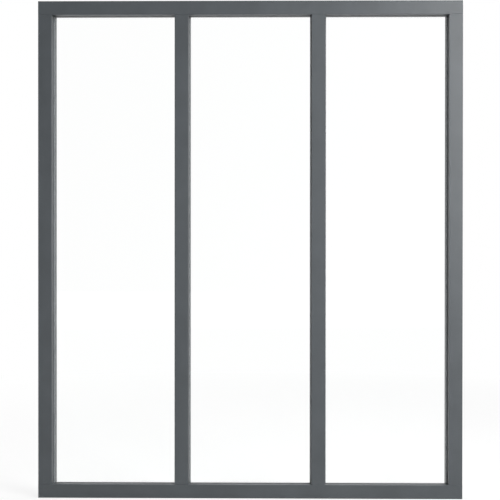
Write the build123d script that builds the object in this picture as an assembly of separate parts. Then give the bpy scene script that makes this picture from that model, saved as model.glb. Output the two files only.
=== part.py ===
"""Interior glass partition: a fixed screen of clear panes in slim hollow aluminium profiles.

X runs to the right, Y from the front face to the rear, Z up. The origin is on the underside of the
bottom rail, at the middle of its length and of its depth. Sections are drawn with u across a member,
from its centre line towards the pane, and v from the front face to the rear.
"""
import os

from build123d import *

# Layout
BAYS = ("left", "centre", "right")
MULLIONS = ("left", "right")
PITCH = 300.0  # between the centre lines of neighbouring uprights
HEIGHT = 1090.0

# Extruded profiles
FACE = 30.0  # width seen from the front
DEPTH = 40.0
FRONT_DEPTH = 12.0  # depth of the part in front of the glass
UPRIGHT_REBATE = 10.0  # overlap of the front flange over the glazing rebate
RAIL_REBATE = 16.0  # deeper, so that a pane can be lifted in
WALL = 1.6
ARRIS = 0.5  # radius of the long outer edges
JOINT_GAP = 0.2  # hairline between the end of an upright and a rail

# Glass
GLASS = 6.0
GLASS_ARRIS = 0.5
SIDE_GAP = 3.0  # between the edges of the glass and the rebate floors of the uprights
BLOCK_HEIGHT = 6.0  # between the edges of the glass and the rebate floors of the rails
BLOCK_LENGTH = 60.0

# Gaskets
GASKET = 3.0
GASKET_WIDTH = 6.0
LIP_CHAMFER = 0.6
UPRIGHT_FRONT_LIP = 1.1  # how far a front lip stands out past the edge of its flange
RAIL_FRONT_LIP = 0.3
REAR_LIP_SETBACK = 0.5  # from the edge of a bead back to the lip of the rear gasket
FOOT_SETBACK = 4.0  # from the lip of the front gasket to the middle of its foot
FOOT_PLAY = 0.15
GROOVE_WIDTH = 3.0
GROOVE_DEPTH = 1.6

# Glazing beads
BEAD_HEIGHT = 12.5
BEAD_WALL = 1.4
BEAD_GAP = 0.2
CLIP_DEPTH = 1.2
CLIP_PLAY = 0.15
SEAT_GAP = 0.1

# Screw ports and holes
PORT_RADIUS = 1.5
PORT_WALL = 1.4
PORT_MOUTH = 2.0
PORT_INSET = 5.2  # from the front and the rear face to the centre of a port
ACCESS_RADIUS = 3.5
PILOT_RADIUS = 2.1
FIXING_RADIUS = 3.25
FIXING_INSET = 150.0  # from the ends of the partition to the wall fixings of a stile

# Worked out from the sizes above
WIDTH = len(BAYS) * PITCH + FACE
END_X = len(BAYS) * PITCH / 2  # centre line of the right stile
OPENING_WIDTH = PITCH - FACE
OPENING_HEIGHT = HEIGHT - 2 * FACE
UPRIGHT_FLOOR = FACE / 2 - UPRIGHT_REBATE  # rebate floor, from the centre line of its member
RAIL_FLOOR = FACE / 2 - RAIL_REBATE
BAY_WIDTH = PITCH - 2 * UPRIGHT_FLOOR
BAY_HEIGHT = HEIGHT - FACE - 2 * RAIL_FLOOR
PANE_WIDTH = BAY_WIDTH - 2 * SIDE_GAP
PANE_HEIGHT = BAY_HEIGHT - 2 * BLOCK_HEIGHT
GLASS_FRONT = FRONT_DEPTH + GASKET
GLASS_REAR = GLASS_FRONT + GLASS
MID_GLASS = (GLASS_FRONT + GLASS_REAR) / 2
BEAD_FRONT = GLASS_REAR + GASKET
STILE_PORT = (UPRIGHT_FLOOR - FACE / 2) / 2  # middle of the hollow base of a stile
MIDDLE = Plane.XY.offset(HEIGHT / 2)


def depth(v):
    """Y of a distance behind the front face."""
    return v - DEPTH / 2


def bay_x(index):
    """Centre of a bay."""
    return (index - (len(BAYS) - 1) / 2) * PITCH


def area(u0, u1, v0, v1):
    """Rectangle of a section, from its edges."""
    return Pos((u0 + u1) / 2, depth((v0 + v1) / 2)) * Rectangle(u1 - u0, v1 - v0)


def along_rail(solid):
    """Lay a solid that was extruded along Z on the centre line of the bottom rail."""
    return Pos(0, 0, FACE / 2) * Rot(0, -90, 0) * solid


def foot_centre(lip):
    """Middle of a front gasket's foot, from the centre line of its member."""
    return FACE / 2 + lip - FOOT_SETBACK


def grooves(floor, lip, grow):
    """Gasket groove in the front flange and clip groove in the rebate floor, grown to their pockets."""
    half = GROOVE_WIDTH / 2 + grow
    foot = foot_centre(lip)
    gasket_groove = area(foot - half, foot + half, FRONT_DEPTH - GROOVE_DEPTH - grow, FRONT_DEPTH)
    play = CLIP_PLAY + grow
    clip_groove = area(floor - CLIP_DEPTH - grow, floor, BEAD_FRONT - play, BEAD_FRONT + BEAD_WALL + play)
    return gasket_groove + clip_groove


def profile(floor, lip, base_edge, two_sided=False):
    """Hollow section of a rail or an upright: a front box, a base behind it and the glazing rebate."""

    def outline(inset):
        front = area(inset - FACE / 2, FACE / 2 - inset, inset, FRONT_DEPTH - inset)
        base = area(inset - base_edge, floor - inset, inset, DEPTH - inset)
        return front + base

    body = outline(0)
    rows = body.vertices().group_by(Axis.Y)
    body = fillet(rows[0] + rows[-1], ARRIS)
    cuts = grooves(floor, lip, 0)
    pockets = grooves(floor, lip, WALL)
    if two_sided:
        cuts += mirror(cuts, Plane.YZ)
        pockets += mirror(pockets, Plane.YZ)
    return body - (outline(WALL) - pockets) - cuts


def with_port(section, u, v, wall_v):
    """Add a screw port: a ring on a short web from a wall, with its mouth on the far side."""
    far_v = 2 * v - wall_v
    centre = Pos(u, depth(v))
    web = area(u - PORT_WALL / 2, u + PORT_WALL / 2, min(v, wall_v), max(v, wall_v))
    mouth = area(u - PORT_MOUTH / 2, u + PORT_MOUTH / 2, min(v, far_v), max(v, far_v))
    ring = centre * Circle(PORT_RADIUS + PORT_WALL)
    bore = centre * Circle(PORT_RADIUS)
    return section + (ring - (mouth & ring) + web - bore)


def upright(section, port_u):
    """A stile or mullion about its own centre, with its front milled back to butt on the rails."""
    section = with_port(section, 0, PORT_INSET, WALL / 2)
    section = with_port(section, port_u, DEPTH - PORT_INSET, DEPTH - WALL / 2)
    bar = extrude(section, BAY_HEIGHT / 2 - JOINT_GAP, both=True)
    notch_depth = FRONT_DEPTH + JOINT_GAP
    notch_z = OPENING_HEIGHT / 2 - JOINT_GAP + RAIL_REBATE / 2
    notch = Pos(0, depth(notch_depth / 2), notch_z) * Box(FACE, notch_depth, RAIL_REBATE)
    return bar - notch - mirror(notch, Plane.XY)


def drill(x, v, radius, z0, z1):
    """Upright hole between two heights."""
    return Pos(x, depth(v), (z0 + z1) / 2) * Cylinder(radius, z1 - z0)


def bottom_rail(joints):
    """Bottom rail with the screw holes of its joints and two fixing holes in the outer bays."""
    section = profile(RAIL_FLOOR, RAIL_FRONT_LIP, FACE / 2)
    rail = along_rail(extrude(section, WIDTH / 2, both=True))
    for x, port_u in joints:
        for hole_x, v in ((x, PORT_INSET), (x + port_u, DEPTH - PORT_INSET)):
            rail -= drill(hole_x, v, ACCESS_RADIUS, 0, 2 * WALL)
            rail -= drill(hole_x, v, PILOT_RADIUS, 0, FACE)
    for x in (bay_x(0), bay_x(len(BAYS) - 1)):
        rail -= drill(x, MID_GLASS, FIXING_RADIUS, 0, FACE)
    return rail


def left_stile():
    """Left stile with its wall fixing holes, hidden in the rebate by the edge of the glass."""
    stile = upright(profile(UPRIGHT_FLOOR, UPRIGHT_FRONT_LIP, FACE / 2), STILE_PORT)
    hole = Rot(0, 90, 0) * Cylinder(FIXING_RADIUS, FACE)
    reach = HEIGHT / 2 - FIXING_INSET
    for z in (-reach, reach):
        stile -= Pos(0, depth(MID_GLASS), z) * hole
    return Pos(-END_X, 0, HEIGHT / 2) * stile


def mullion():
    """Mullion about its own centre, with a rebate on each side of its stem."""
    section = profile(UPRIGHT_FLOOR, UPRIGHT_FRONT_LIP, UPRIGHT_FLOOR, two_sided=True)
    return upright(section, 0)


def sheet(width, height, v0, v1):
    """Upright slab about the centre of a bay, between two depths."""
    front = Plane((0, depth(v0), HEIGHT / 2), x_dir=(1, 0, 0), z_dir=(0, 1, 0))
    return extrude(front * Rectangle(width, height), v1 - v0)


def pane():
    """Clear glass with arrised edges."""
    glass = sheet(PANE_WIDTH, PANE_HEIGHT, GLASS_FRONT, GLASS_REAR)
    rims = glass.faces().sort_by(Axis.Y)
    return chamfer(rims[0].edges() + rims[-1].edges(), GLASS_ARRIS)


def rear_lip(floor):
    """How far a rear gasket stands out past the edge of the front flange."""
    return floor + BEAD_HEIGHT - REAR_LIP_SETBACK - FACE / 2


def gasket(side_lip, rail_lip, v0, v1):
    """Mitred loop of rubber round a bay, with a chamfered lip."""
    width = OPENING_WIDTH - 2 * side_lip
    height = OPENING_HEIGHT - 2 * rail_lip
    outer = sheet(width + 2 * GASKET_WIDTH, height + 2 * GASKET_WIDTH, v0, v1)
    loop = outer - sheet(width, height, v0, v1)
    rims = loop.faces().filter_by(Axis.Y)
    return chamfer([edge for rim in rims for edge in rim.inner_wires()[0].edges()], LIP_CHAMFER)


def foot(lip, length):
    """Strip that seats in a gasket groove, centred on its member."""
    half = GROOVE_WIDTH / 2 - FOOT_PLAY
    centre = foot_centre(lip)
    section = area(centre - half, centre + half, FRONT_DEPTH - GROOVE_DEPTH + FOOT_PLAY, FRONT_DEPTH)
    return extrude(section, length / 2, both=True)


def front_gasket():
    """Front gasket, with feet in the grooves of the flanges round the bay, clear of the corners."""
    loop = gasket(UPRIGHT_FRONT_LIP, RAIL_FRONT_LIP, FRONT_DEPTH, GLASS_FRONT - SEAT_GAP)
    below = along_rail(foot(RAIL_FRONT_LIP, OPENING_WIDTH - GROOVE_WIDTH))
    beside = Pos(-PITCH / 2, 0, HEIGHT / 2) * foot(UPRIGHT_FRONT_LIP, OPENING_HEIGHT - GROOVE_WIDTH)
    return loop + below + mirror(below, MIDDLE) + beside + mirror(beside, Plane.YZ)


def rear_gasket():
    """Rear gasket, pressed between the glass and the beads."""
    side_lip = rear_lip(UPRIGHT_FLOOR)
    rail_lip = rear_lip(RAIL_FLOOR)
    return gasket(side_lip, rail_lip, GLASS_REAR + SEAT_GAP, BEAD_FRONT - SEAT_GAP)


def bead(floor, length):
    """Channel open to a rebate floor, with a nib that clips into the floor's groove."""
    top = floor + BEAD_HEIGHT
    body = area(floor + SEAT_GAP, top, BEAD_FRONT, DEPTH)
    body = fillet(body.vertices().group_by(Axis.X)[-1], ARRIS)
    hollow = area(floor, top - BEAD_WALL, BEAD_FRONT + BEAD_WALL, DEPTH - BEAD_WALL)
    nib_end = floor - CLIP_DEPTH + CLIP_PLAY
    nib = area(nib_end, floor + SEAT_GAP, BEAD_FRONT, BEAD_FRONT + BEAD_WALL)
    return extrude(body - hollow + nib, length / 2, both=True)


def beads():
    """The four beads of a bay: square-cut uprights between the bottom and the top one."""
    bottom = along_rail(bead(RAIL_FLOOR, BAY_WIDTH - 2 * BEAD_GAP))
    beside = bead(UPRIGHT_FLOOR, BAY_HEIGHT - 2 * (BEAD_HEIGHT + BEAD_GAP))
    left = Pos(-PITCH / 2, 0, HEIGHT / 2) * beside
    return {
        "bottom": bottom,
        "top": mirror(bottom, MIDDLE),
        "left": left,
        "right": mirror(left, Plane.YZ),
    }


def setting_blocks():
    """Two blocks that carry the pane, at the quarter points of its lower edge."""
    rise = BLOCK_HEIGHT - SEAT_GAP
    block = Box(BLOCK_LENGTH, GLASS, rise)
    z = FACE / 2 + RAIL_FLOOR + rise / 2
    return Compound([Pos(x, depth(MID_GLASS), z) * block for x in (-PANE_WIDTH / 4, PANE_WIDTH / 4)])


def build():
    """Every node of the partition by name."""
    mullion_x = [bay_x(index) + PITCH / 2 for index in range(len(MULLIONS))]
    joints = [(-END_X, STILE_PORT), (END_X, -STILE_PORT)] + [(x, 0) for x in mullion_x]
    nodes = {"bottom_rail": bottom_rail(joints), "left_stile": left_stile()}
    nodes["top_rail"] = mirror(nodes["bottom_rail"], MIDDLE)
    nodes["right_stile"] = mirror(nodes["left_stile"], Plane.YZ)

    one_mullion = mullion()
    for name, x in zip(MULLIONS, mullion_x):
        nodes[f"{name}_mullion"] = Pos(x, 0, HEIGHT / 2) * one_mullion

    bay = {
        "pane": pane(),
        "front_gasket": front_gasket(),
        "rear_gasket": rear_gasket(),
        "setting_blocks": setting_blocks(),
    }
    bay.update({f"bay_{side}_bead": solid for side, solid in beads().items()})
    for index, name in enumerate(BAYS):
        for piece, solid in bay.items():
            nodes[f"{name}_{piece}"] = Pos(bay_x(index), 0, 0) * solid
    return nodes


os.makedirs("parts", exist_ok=True)
for node, solid in build().items():
    export_step(solid, f"parts/{node}.step")
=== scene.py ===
# %% [markdown]
# # Interior glass partition
# A fixed partition: three tall panes in a slim frame of hollow aluminium sections, coated dark grey. The
# solid parts come from the CAD model, each already in its true place. This lesson gives every part the
# finish that the real one has, adds the screws that pull the frame together, and sets up a camera and a
# light that match the photograph.

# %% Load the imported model
import math

import bpy
from mathutils import Matrix, Vector


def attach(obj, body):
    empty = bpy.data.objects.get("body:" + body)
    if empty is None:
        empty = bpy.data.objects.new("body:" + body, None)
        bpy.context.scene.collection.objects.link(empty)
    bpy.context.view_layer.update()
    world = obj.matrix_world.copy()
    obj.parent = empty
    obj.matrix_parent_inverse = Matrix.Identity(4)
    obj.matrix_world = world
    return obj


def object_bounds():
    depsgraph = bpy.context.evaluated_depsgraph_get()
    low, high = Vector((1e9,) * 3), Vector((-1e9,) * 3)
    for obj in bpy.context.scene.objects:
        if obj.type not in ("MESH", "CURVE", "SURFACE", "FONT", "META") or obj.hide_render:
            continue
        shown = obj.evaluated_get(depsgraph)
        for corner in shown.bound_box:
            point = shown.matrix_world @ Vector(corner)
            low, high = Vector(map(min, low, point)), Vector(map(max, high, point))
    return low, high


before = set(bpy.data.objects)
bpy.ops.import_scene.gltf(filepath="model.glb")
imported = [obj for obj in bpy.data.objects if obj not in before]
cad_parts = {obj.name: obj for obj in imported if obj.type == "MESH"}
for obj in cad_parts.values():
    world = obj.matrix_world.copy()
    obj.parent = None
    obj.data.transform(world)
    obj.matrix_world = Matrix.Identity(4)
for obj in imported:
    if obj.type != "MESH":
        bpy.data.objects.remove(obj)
cad_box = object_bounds()
width, depth, height = cad_box[1] - cad_box[0]
print(f"{len(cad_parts)} CAD nodes, {width:.3f} x {depth:.3f} x {height:.3f} m")

# %% [markdown]
# ## The camera
# The photograph looks at the partition almost square on, from a little over two metres. The verticals and
# the rails stay nearly parallel, so the camera is hardly turned, and the crop is moved with lens shift, as
# on a view camera. Tilting the camera instead would make the frame lean. The small angles come from the
# frame's four corners in the photograph, and the standing point from how much of each reveal shows.

# %% Camera
EYE = Vector((0.050, -2.080, 0.500))
YAW, PITCH, ROLL = (math.radians(angle) for angle in (0.644, -0.267, 0.042))
SENSOR_MM, LENS_MM = 36.0, 67.74
SHIFT_X, SHIFT_Y = -0.0243, 0.0496

camera_data = bpy.data.cameras.new("photo_camera")
camera_data.sensor_width = SENSOR_MM
camera_data.lens = LENS_MM
camera_data.shift_x, camera_data.shift_y = SHIFT_X, SHIFT_Y
camera = bpy.data.objects.new("photo_camera", camera_data)
bpy.context.scene.collection.objects.link(camera)
upright = Matrix.Rotation(math.pi / 2 + PITCH, 4, "X")
turn = Matrix.Rotation(YAW, 4, "Z") @ upright @ Matrix.Rotation(ROLL, 4, "Z")
camera.matrix_world = Matrix.Translation(EYE) @ turn
bpy.context.scene.camera = camera
bpy.context.scene.view_settings.view_transform = "Standard"
print(f"camera {LENS_MM} mm at {tuple(round(v, 3) for v in EYE)}")

# %% [markdown]
# ## Node helpers
# A material is a small graph of nodes. It could be drawn by hand in the shader editor, but a script can be
# read and run again. These helpers keep the cells below short. They fill a socket with a value or a link,
# add the few kinds of node that come up often, and start a material or a node group. A node group is a
# recipe that several finishes share.

# %% Node helpers
def fill(tree, socket, value):
    if isinstance(value, bpy.types.NodeSocket):
        tree.links.new(value, socket)
    else:
        socket.default_value = value


def add_node(tree, kind, values=None, **settings):
    made = tree.nodes.new(kind)
    for name, value in settings.items():
        setattr(made, name, value)
    for socket, value in (values or {}).items():
        fill(tree, made.inputs[socket], value)
    return made


def math_node(tree, operation, *values):
    return add_node(tree, "ShaderNodeMath", dict(enumerate(values)), operation=operation).outputs[0]


def mix_colours(tree, share, first, second):
    values = {"Factor": share, "A": first, "B": second}
    return add_node(tree, "ShaderNodeMix", values, data_type="RGBA").outputs["Result"]


def object_place(tree):
    return add_node(tree, "ShaderNodeTexCoord").outputs["Object"]


def start_material(name):
    material = bpy.data.materials.new(name)
    material.use_nodes = True
    return material, material.node_tree, material.node_tree.nodes["Principled BSDF"]


def mix_surface(tree, share, first, second):
    blend = add_node(tree, "ShaderNodeMixShader", {0: share, 1: first.outputs[0], 2: second.outputs[0]})
    fill(tree, tree.nodes["Material Output"].inputs["Surface"], blend.outputs[0])


def start_group(name, inputs, outputs):
    group = bpy.data.node_groups.new(name, "ShaderNodeTree")
    for direction, labels in (("INPUT", inputs), ("OUTPUT", outputs)):
        for label in labels:
            kind = "NodeSocketVector" if label == "Vector" else "NodeSocketFloat"
            group.interface.new_socket(label, in_out=direction, socket_type=kind)
    return group, group.nodes.new("NodeGroupInput"), group.nodes.new("NodeGroupOutput")


print("helpers ready")

# %% [markdown]
# ## Floor
# The photograph has a plain white ground with no edge. A white floor lit only by lamps never reaches an
# even white without flooding the frame with light, so most of what the camera sees of the floor is a
# plain white glow, told apart by the kind of ray, and the rest is the lit floor with the frame's soft
# shadow. Further out, where there is no shadow to keep, the glow takes over and the floor runs into the
# background.

# %% Floor
FLOOR_SIZE, FLOOR_DROP = 40.0, 0.0005
FLOOR_GLOW = 0.78
GLOW_FROM, GLOW_FULL = 1.2, 2.6
WHITE = (1.0, 1.0, 1.0, 1.0)

bpy.ops.object.select_all(action="DESELECT")
bpy.ops.mesh.primitive_plane_add(size=FLOOR_SIZE, location=(0.0, 0.0, -FLOOR_DROP))
floor = bpy.context.object
floor.name = "studio_floor"

floor_white, tree, shader = start_material("studio_floor_white")
shader.inputs["Base Color"].default_value = (0.9, 0.9, 0.9, 1.0)
shader.inputs["Roughness"].default_value = 0.85
shader.inputs["Specular IOR Level"].default_value = 0.1
ray = add_node(tree, "ShaderNodeLightPath").outputs
seen = math_node(tree, "MAXIMUM", ray["Is Camera Ray"], ray["Is Glossy Ray"])
seen = math_node(tree, "MAXIMUM", seen, ray["Is Transmission Ray"])
away = add_node(tree, "ShaderNodeVectorMath", {0: object_place(tree)}, operation="LENGTH")
fade = {"From Min": GLOW_FROM, "From Max": GLOW_FULL, "To Min": FLOOR_GLOW, "To Max": 1.0}
share = add_node(tree, "ShaderNodeMapRange", {"Value": away.outputs["Value"], **fade})
glow = add_node(tree, "ShaderNodeEmission", {"Color": WHITE, "Strength": 1.0})
mix_surface(tree, math_node(tree, "MULTIPLY", seen, share.outputs["Result"]), shader, glow)
floor.data.materials.append(floor_white)
print(f"floor {FLOOR_SIZE:.0f} m square, just under the bottom rail")

# %% [markdown]
# ## World
# The world stands for the rest of the studio. A picture of a real studio could do this, but a plain sweep
# from grey to white is enough for a frame with so few reflections. The world is white to the eye and
# through the glass. What it sends into reflections and onto the surfaces is white on the right and greyer
# on the left, like a studio with its window on one side.

# %% World
WORLD_FILL = 0.40
GREY_SIDE, WHITE_SIDE = 0.30, 1.0
SWEEP_FROM, SWEEP_FULL, SWEEP_TILT = -0.45, 0.35, -0.4

world = bpy.data.worlds.new("white_studio")
world.use_nodes = True
bpy.context.scene.world = world
tree = world.node_tree
tree.nodes.clear()
direction = add_node(tree, "ShaderNodeTexCoord").outputs["Generated"]
toward = add_node(tree, "ShaderNodeSeparateXYZ", {0: direction}).outputs
sideways = math_node(tree, "MULTIPLY_ADD", toward["Z"], SWEEP_TILT, toward["X"])
steps = {"From Min": SWEEP_FROM, "From Max": SWEEP_FULL, "To Min": GREY_SIDE, "To Max": WHITE_SIDE}
sweep = add_node(tree, "ShaderNodeMapRange", {"Value": sideways, **steps}, interpolation_type="SMOOTHSTEP")
ray = add_node(tree, "ShaderNodeLightPath").outputs
shine = math_node(tree, "MULTIPLY_ADD", ray["Is Glossy Ray"], 1.0 - WORLD_FILL, WORLD_FILL)
lit = math_node(tree, "MULTIPLY", sweep.outputs["Result"], shine)
seen = math_node(tree, "MAXIMUM", ray["Is Camera Ray"], ray["Is Transmission Ray"])
strength = math_node(tree, "MAXIMUM", seen, lit)
sky = add_node(tree, "ShaderNodeBackground", {"Color": WHITE, "Strength": strength})
add_node(tree, "ShaderNodeOutputWorld", {"Surface": sky.outputs[0]})
print(f"world fill {WORLD_FILL}, white where it is seen")

# %% [markdown]
# ## Studio light
# On the photograph the coat is lightest at the upper right and darkest at the left, with no hard edge
# anywhere. That is one broad lamp in front, above and to the right. A large dim one behind the camera
# stands for a pale wall, which the panes mirror faintly over the dark rebates. A lamp overhead lights the
# floor and the rails from above. The last one, behind, gives the rear faces and the beads some shape, for
# the views from the other side; it is kept out of reflections, because the reveals would catch it as a
# hard white edge. All four are hidden from the eye and from rays through the glass, or they would show as
# bright panels behind the panes.

# %% Lamps
def softbox(name, place, aim, size, watts):
    data = bpy.data.lights.new(name, "AREA")
    data.shape = "RECTANGLE"
    data.size, data.size_y = size
    data.energy = watts
    lamp = bpy.data.objects.new(name, data)
    bpy.context.scene.collection.objects.link(lamp)
    lamp.location = place
    lamp.rotation_euler = (Vector(aim) - Vector(place)).to_track_quat("-Z", "Y").to_euler()
    lamp.visible_camera = lamp.visible_transmission = False
    return lamp


middle = (0.0, 0.0, height / 2)
softbox("key_lamp", place=(1.35, -1.45, 1.30), aim=middle, size=(1.1, 1.7), watts=56.0)
softbox("front_lamp", place=(-0.40, -4.60, 1.40), aim=middle, size=(6.0, 2.7), watts=20.0)
softbox("top_lamp", place=(0.20, 0.30, 3.40), aim=(0.0, 0.3, 0.0), size=(2.4, 2.4), watts=48.0)
back_lamp = softbox("back_lamp", place=(-1.80, 2.60, 2.20), aim=middle, size=(1.8, 1.8), watts=45.0)
back_lamp.visible_glossy = False
print("four soft lamps")

# %% [markdown]
# ## Fine surface
# No real surface is one flat tone. Three noises at three sizes do for all the finishes here: a slow
# mottle, the peel of a coat at about two millimetres, and a fine grain. Peel and a share of the grain add
# up to the relief. They are one node group, so each finish only says how large its own are.

# %% Fine surface group
NOISE_DETAIL = {"Mottle": 3.0, "Peel": 1.0, "Grain": 2.0}
NOISE_ROUGHNESS = 0.5
GRAIN_SHARE = 0.35
SCALE_LABELS = [f"{label} scale" for label in NOISE_DETAIL]

fine_surface, group_in, group_out = start_group(
    "fine_surface", ["Vector", *SCALE_LABELS], [*NOISE_DETAIL, "Relief"]
)
noises = {}
for label, detail in NOISE_DETAIL.items():
    noise = add_node(fine_surface, "ShaderNodeTexNoise", {"Detail": detail, "Roughness": NOISE_ROUGHNESS})
    fill(fine_surface, noise.inputs["Vector"], group_in.outputs["Vector"])
    fill(fine_surface, noise.inputs["Scale"], group_in.outputs[f"{label} scale"])
    noises[label] = noise.outputs["Fac"]
    fill(fine_surface, group_out.inputs[label], noises[label])
relief = math_node(fine_surface, "MULTIPLY_ADD", noises["Grain"], GRAIN_SHARE, noises["Peel"])
fill(fine_surface, group_out.inputs["Relief"], relief)
print("fine_surface: mottle, peel, grain and relief")

# %% [markdown]
# ## One recipe for the opaque finishes
# Coat, rubber, plastic and plating differ in tone, sheen and grain, not in kind. Each could be a graph of
# its own, but one recipe is shorter and keeps them alike: the mottle moves the colour between two tones,
# the grain moves the roughness between two values, and the relief is a soft bump with a strength and a
# height. What is the same all over a finish, such as being metal, is set on its shader.

# %% Fine finish
def fine_nodes(tree, scales):
    values = {"Vector": object_place(tree), **dict(zip(SCALE_LABELS, scales))}
    return add_node(tree, "ShaderNodeGroup", values, node_tree=fine_surface).outputs


def fine_finish(name, scales, tones, roughness, relief):
    material, tree, shader = start_material(name)
    fine = fine_nodes(tree, scales)
    tone = mix_colours(tree, fine["Mottle"], *tones)
    sheen = {"Value": fine["Grain"], "To Min": roughness[0], "To Max": roughness[1]}
    bump = {"Height": fine["Relief"], "Strength": relief[0], "Distance": relief[1]}
    fill(tree, shader.inputs["Base Color"], tone)
    fill(tree, shader.inputs["Roughness"], add_node(tree, "ShaderNodeMapRange", sheen).outputs["Result"])
    fill(tree, shader.inputs["Normal"], add_node(tree, "ShaderNodeBump", bump).outputs["Normal"])
    return material, tree, shader, tone


print("one recipe for coat, rubber, plastic and plating")

# %% [markdown]
# ## Bare metal inside the sections
# The bars are coated at full length and then sawn, so the coat covers the outside only: the chambers and
# the saw cuts show mill aluminium. Painting that by hand on every bar would be slow and would need seams.
# A bar's section is known, so two plain tests on the place do it: one box for the chamber behind the front
# face, one for the chamber along the outer face. Both boxes end inside the walls, so neither shows through.

# %% Bare inside group
FACE, HALF_DEPTH = 0.030, 0.020
INSIDE_WALL = 0.0013
FLANGE_BACK = -0.009


def between(tree, value, low, high):
    return math_node(tree, "COMPARE", value, (low + high) / 2, (high - low) / 2)


bare_inside, group_in, group_out = start_group(
    "bare_inside", ["From outer face", "Across", "Base reach"], ["Bare"]
)
outer, across, reach = (group_in.outputs[i] for i in range(3))
in_flange = between(bare_inside, outer, INSIDE_WALL, FACE - INSIDE_WALL)
behind_face = between(bare_inside, across, INSIDE_WALL - HALF_DEPTH, FLANGE_BACK)
front_chamber = math_node(bare_inside, "MULTIPLY", in_flange, behind_face)
under_skin = math_node(bare_inside, "GREATER_THAN", outer, INSIDE_WALL)
short_of_rebate = math_node(bare_inside, "LESS_THAN", outer, reach)
in_base = math_node(bare_inside, "MULTIPLY", under_skin, short_of_rebate)
between_faces = between(bare_inside, across, INSIDE_WALL - HALF_DEPTH, HALF_DEPTH - INSIDE_WALL)
base_chamber = math_node(bare_inside, "MULTIPLY", in_base, between_faces)
either = math_node(bare_inside, "MAXIMUM", front_chamber, base_chamber)
fill(bare_inside, group_out.inputs["Bare"], either)
print("bare_inside: the two chambers of a bar")

# %% [markdown]
# The group needs to know how far a place lies in from the outer face of its bar. The frame is symmetric,
# so one formula does for both rails and one for both stiles. The rails are sawn off at their ends too,
# where anything beyond the last twentieth of a millimetre is the cut.

# %% Bare places of rails and stiles
RAIL_FLOOR, STILE_FLOOR = 0.014, 0.020
CUT_DEPTH = 0.00005


def chambers(tree, from_outer, across, rebate_floor):
    values = {"From outer face": from_outer, "Across": across, "Base reach": rebate_floor - INSIDE_WALL}
    return add_node(tree, "ShaderNodeGroup", values, node_tree=bare_inside).outputs["Bare"]


def bare_on_rail(tree):
    place = add_node(tree, "ShaderNodeSeparateXYZ", {0: object_place(tree)}).outputs
    off_middle = math_node(tree, "ABSOLUTE", math_node(tree, "SUBTRACT", place["Z"], height / 2))
    from_outer = math_node(tree, "SUBTRACT", height / 2, off_middle)
    along = math_node(tree, "ABSOLUTE", place["X"])
    saw_cut = math_node(tree, "GREATER_THAN", along, width / 2 - CUT_DEPTH)
    return math_node(tree, "MAXIMUM", chambers(tree, from_outer, place["Y"], RAIL_FLOOR), saw_cut)


def bare_on_stile(tree):
    place = add_node(tree, "ShaderNodeSeparateXYZ", {0: object_place(tree)}).outputs
    from_outer = math_node(tree, "SUBTRACT", width / 2, math_node(tree, "ABSOLUTE", place["X"]))
    return chambers(tree, from_outer, place["Y"], STILE_FLOOR)


print(f"rebate floors {RAIL_FLOOR} m in on the rails, {STILE_FLOOR} m on the stiles")

# %% [markdown]
# ## Satin coat
# The frame has a satin powder coat in a cool dark grey. Powder melts into a film with a faint peel, so the
# coat gets a soft bump and a roughness that wanders a little. On the photograph the tone is slightly
# cloudy along the bars, so the mottle is a few centimetres wide. The rails and the stiles also show bare
# metal where they are hollow or sawn.

# %% Coat
COAT = {
    "scales": (16.0, 520.0, 2600.0),
    "tones": [(0.0335, 0.0389, 0.0436, 1.0), (0.0555, 0.0636, 0.0709, 1.0)],
    "roughness": (0.36, 0.46),
    "relief": (0.25, 0.0003),
}
MILL_METAL = (0.560, 0.570, 0.580, 1.0)


def coat_material(name, bare_where=None):
    material, tree, shader, tone = fine_finish(name, **COAT)
    if bare_where:
        bare = bare_where(tree)
        fill(tree, shader.inputs["Base Color"], mix_colours(tree, bare, tone, MILL_METAL))
        fill(tree, shader.inputs["Metallic"], bare)
    return material


rail_coat = coat_material("satin_coat_rail", bare_on_rail)
stile_coat = coat_material("satin_coat_stile", bare_on_stile)
plain_coat = coat_material("satin_coat")
print("satin coat for rails, stiles, mullions and beads")

# %% [markdown]
# ## Gasket rubber
# Two rubber gaskets hold each pane. The front one is the thin dark line next to the flange. The rear one,
# pressed in behind the glass, shows on the photograph as a paler strip, so it is a grey rubber. Rubber is
# matt and takes up a little bloom, so each tone wanders between two values and the surface keeps a soft
# grain. Both are the same recipe with tones of their own.

# %% Gasket rubber
RUBBER = {"scales": (30.0, 400.0, 3000.0), "roughness": (0.58, 0.74), "relief": (0.15, 0.0003)}
BLACK_TONES = [(0.044, 0.047, 0.051, 1.0), (0.062, 0.066, 0.071, 1.0)]
GREY_TONES = [(0.184, 0.194, 0.206, 1.0), (0.212, 0.224, 0.238, 1.0)]

black_rubber = fine_finish("black_gasket_rubber", tones=BLACK_TONES, **RUBBER)[0]
grey_rubber = fine_finish("grey_gasket_rubber", tones=GREY_TONES, **RUBBER)[0]
print("black rubber in front of the glass, grey behind it")

# %% [markdown]
# ## Clear glass
# The panes are six millimetre float glass, so clear that on the photograph only the frame shows. The pane
# is a real slab, so one glass shader bends the light in and out of it. Float glass keeps a slow ripple
# from being drawn off its bath of tin, which shows only as a drift in its reflections. A glass shader
# throws a solid shadow, so shadow rays go through a clear shader instead.

# %% Clear glass
GLASS_SCALES = (2.0, 5.0, 9.0)
GLASS_TONES = [(0.991, 0.998, 0.995, 1.0), (0.997, 1.000, 0.999, 1.0)]
RIPPLE = {"Strength": 0.05, "Distance": 0.0005}
SHADOW_TINT = (0.93, 0.95, 0.94, 1.0)

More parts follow.
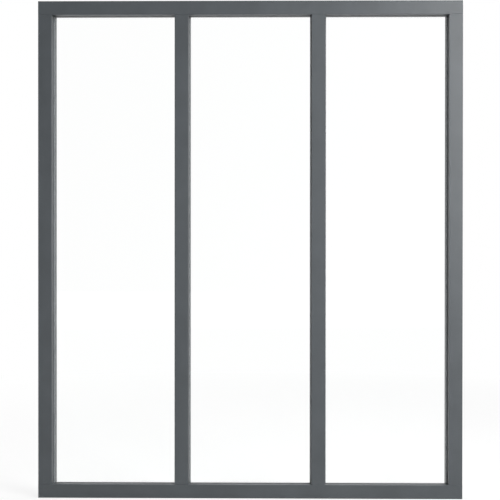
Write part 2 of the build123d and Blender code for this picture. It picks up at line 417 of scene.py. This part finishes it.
clear_glass, tree, shader = start_material("clear_glass")
shader.inputs["Roughness"].default_value = 0.0
shader.inputs["IOR"].default_value = 1.52
shader.inputs["Transmission Weight"].default_value = 1.0
drawn = fine_nodes(tree, GLASS_SCALES)
fill(tree, shader.inputs["Base Color"], mix_colours(tree, drawn["Mottle"], *GLASS_TONES))
ripple = add_node(tree, "ShaderNodeBump", {"Height": drawn["Peel"], **RIPPLE})
fill(tree, shader.inputs["Normal"], ripple.outputs["Normal"])
clear = add_node(tree, "ShaderNodeBsdfTransparent", {"Color": SHADOW_TINT})
ray = add_node(tree, "ShaderNodeLightPath").outputs
mix_surface(tree, ray["Is Shadow Ray"], shader, clear)
print("clear glass")

# %% [markdown]
# ## Setting blocks
# Each pane stands on two small grey plastic blocks. They are moulded, so they are smooth with a slight
# flow mottle. The shared recipe does that with finer scales and less relief.

# %% Setting block plastic
BLOCK = {
    "scales": (45.0, 700.0, 2500.0),
    "tones": [(0.100, 0.104, 0.108, 1.0), (0.130, 0.134, 0.138, 1.0)],
    "roughness": (0.42, 0.55),
    "relief": (0.08, 0.0002),
}
block_plastic = fine_finish("setting_block_plastic", **BLOCK)[0]
print("setting block plastic")

# %% [markdown]
# ## Dress the CAD nodes
# Every CAD node keeps its shape and takes its finish by what it is. The end of its name says that, so one
# row of a table for each kind of piece is enough.

# %% Dress the CAD nodes
FINISHES = {
    "_rail": rail_coat,
    "_stile": stile_coat,
    "_mullion": plain_coat,
    "_bead": plain_coat,
    "_pane": clear_glass,
    "_front_gasket": black_rubber,
    "_rear_gasket": grey_rubber,
    "_setting_blocks": block_plastic,
}

for node_name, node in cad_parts.items():
    finish = next(made for ending, made in FINISHES.items() if node_name.endswith(ending))
    for material_slot in node.material_slots:
        material_slot.material = finish
print(f"{len(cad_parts)} nodes dressed")

# %% [markdown]
# ## Joint screws
# Sixteen screws run through the rails into the ends of the uprights. Their heads sit deep in the rails
# and show through the access holes from above and below. A screw is a turned part. A half section spun
# round the axis would give it, but a cylinder needs fewer steps: one end face shrinks to the tip, the other
# grows into the seat and the pan head, and the rim is rounded.

# %% Shank and head
SIDES = 24
SHANK_RADIUS, SHANK_LENGTH = 0.00142, 0.0190
TIP_LENGTH, TIP_SHARE = 0.0040, 0.12
HEAD_RADIUS, HEAD_HEIGHT = 0.0033, 0.0024
HEAD_ROUND, ROUND_SEGMENTS = 0.0012, 4
MESH_PLAY = 1e-5
HEAD_TOP = -HEAD_HEIGHT + MESH_PLAY
FLAT = 0.99


def select_only(kind, wanted):
    bpy.ops.mesh.select_mode(type=kind)
    bpy.ops.object.mode_set(mode="OBJECT")
    mesh = screw.data
    for parts in (mesh.vertices, mesh.edges, mesh.polygons):
        parts.foreach_set("select", [False] * len(parts))
    for part in mesh.polygons if kind == "FACE" else mesh.vertices:
        part.select = wanted(part)
    bpy.ops.object.mode_set(mode="EDIT")


def pull_out(along, widen=1.0):
    bpy.ops.mesh.extrude_region_move(TRANSFORM_OT_translate={"value": (0.0, 0.0, along)})
    if widen != 1.0:
        bpy.ops.transform.resize(value=(widen, widen, 1.0))


bpy.ops.object.select_all(action="DESELECT")
bpy.ops.mesh.primitive_cylinder_add(
    vertices=SIDES, radius=SHANK_RADIUS, depth=SHANK_LENGTH, location=(0.0, 0.0, SHANK_LENGTH / 2)
)
screw = bpy.context.object
screw.name = "joint_screw"
bpy.ops.object.transform_apply(location=True, rotation=True, scale=True)
bpy.ops.object.mode_set(mode="EDIT")

select_only("FACE", lambda face: face.normal.z > FLAT)
pull_out(TIP_LENGTH, TIP_SHARE)
select_only("FACE", lambda face: face.normal.z < -FLAT)
pull_out(0.0, HEAD_RADIUS / SHANK_RADIUS)
pull_out(-HEAD_HEIGHT)
select_only("VERT", lambda vertex: vertex.co.z < HEAD_TOP)
bpy.ops.mesh.bevel(offset=HEAD_ROUND, segments=ROUND_SEGMENTS, profile=0.5, affect="EDGES")
print(f"shank {SHANK_LENGTH} m and pan head {2 * HEAD_RADIUS} m across")

# %% [markdown]
# The drive is a star of six lobes. It could be cut with a boolean, but that leaves long thin faces on so
# small a head. Instead the flat of the head is inset, the rim of the inset is pulled in between the lobes,
# more at the waist than at the shoulders, and the face is pushed into the head.

# %% Drive of the screw
DRIVE_MARGIN, DRIVE_DEPTH = 0.00035, 0.0014
LOBE_ANGLE, ANGLE_PLAY = 60.0, 1.0
WAIST_ANGLE, WAIST_SHARE = 30.0, 0.72
SHOULDER_ANGLES, SHOULDER_SHARE = (15.0, 45.0), 0.88
SMOOTH_ANGLE = math.radians(40.0)
RIM_PLAY = 1e-4
DRIVE_RIM = HEAD_RADIUS - HEAD_ROUND - DRIVE_MARGIN + RIM_PLAY


def pull_in(share, *angles):
    def wanted(vertex):
        turned = math.degrees(math.atan2(vertex.co.y, vertex.co.x)) % LOBE_ANGLE
        on_drive = vertex.co.z <= HEAD_TOP and vertex.co.xy.length <= DRIVE_RIM
        return on_drive and any(abs(turned - angle) < ANGLE_PLAY for angle in angles)

    select_only("VERT", wanted)
    bpy.ops.transform.resize(value=(share, share, 1.0), center_override=(0.0, 0.0, -HEAD_HEIGHT))


select_only("FACE", lambda face: face.normal.z < -FLAT and face.center.z < HEAD_TOP)
bpy.ops.mesh.inset(thickness=DRIVE_MARGIN)
pull_in(WAIST_SHARE, WAIST_ANGLE)
pull_in(SHOULDER_SHARE, *SHOULDER_ANGLES)
select_only("FACE", lambda face: face.normal.z < -FLAT and len(face.vertices) == SIDES)
pull_out(DRIVE_DEPTH)
bpy.ops.mesh.select_all(action="SELECT")
bpy.ops.mesh.normals_make_consistent(inside=False)
bpy.ops.object.mode_set(mode="OBJECT")
bpy.ops.object.shade_smooth_by_angle(angle=SMOOTH_ANGLE)
print(f"one screw: {len(screw.data.polygons)} faces")

# %% [markdown]
# The screws are plated steel. Plating is a thin bright film with a slight drift of tone, over metal that
# is not quite polished. It is the shared recipe again, with the shader set to metal.

# %% Plated steel
PLATING = {
    "scales": (220.0, 900.0, 4000.0),
    "tones": [(0.520, 0.535, 0.550, 1.0), (0.600, 0.595, 0.570, 1.0)],
    "roughness": (0.26, 0.42),
    "relief": (0.06, 0.0001),
}
plated_steel, _, shader, _ = fine_finish("plated_steel", **PLATING)
shader.inputs["Metallic"].default_value = 1.0
screw.data.materials.append(plated_steel)
print("plated steel")

# %% [markdown]
# The screws stand in two rows at each rail, one behind the front face and one near the rear. Their seats
# are the inner walls of the rail's two chambers. At the top rail they are turned over. Copies could share
# one mesh, but each has its own here, so that it stands in the shared frame with no move of its own. Each
# drive stops at another angle, as screws do.

# %% Drive the screws
FRONT_Y, FRONT_SEAT = -0.0148, 0.0284
REAR_Y, REAR_SEAT = 0.0148, 0.0124
FRONT_ROW = [(x, FRONT_Y, FRONT_SEAT) for x in (-0.450, -0.150, 0.150, 0.450)]
REAR_ROW = [(x, REAR_Y, REAR_SEAT) for x in (-0.455, -0.150, 0.150, 0.455)]
SEAT_PLAY = 0.00005
STOP_DEGREES = 37.0

driven = 0
for up in (True, False):
    for x, y, seat in FRONT_ROW + REAR_ROW:
        driven += 1
        piece = bpy.data.objects.new(f"joint_screw_{driven:02d}", screw.data.copy())
        bpy.context.scene.collection.objects.link(piece)
        spot = seat - SEAT_PLAY if up else height - seat + SEAT_PLAY
        flip = Matrix.Identity(4) if up else Matrix.Rotation(math.pi, 4, "X")
        stop = Matrix.Rotation(math.radians(STOP_DEGREES * driven), 4, "Z")
        piece.data.transform(Matrix.Translation((x, y, spot)) @ flip @ stop)
        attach(piece, "root")
bpy.data.objects.remove(screw)
print(f"{driven} joint screws driven")
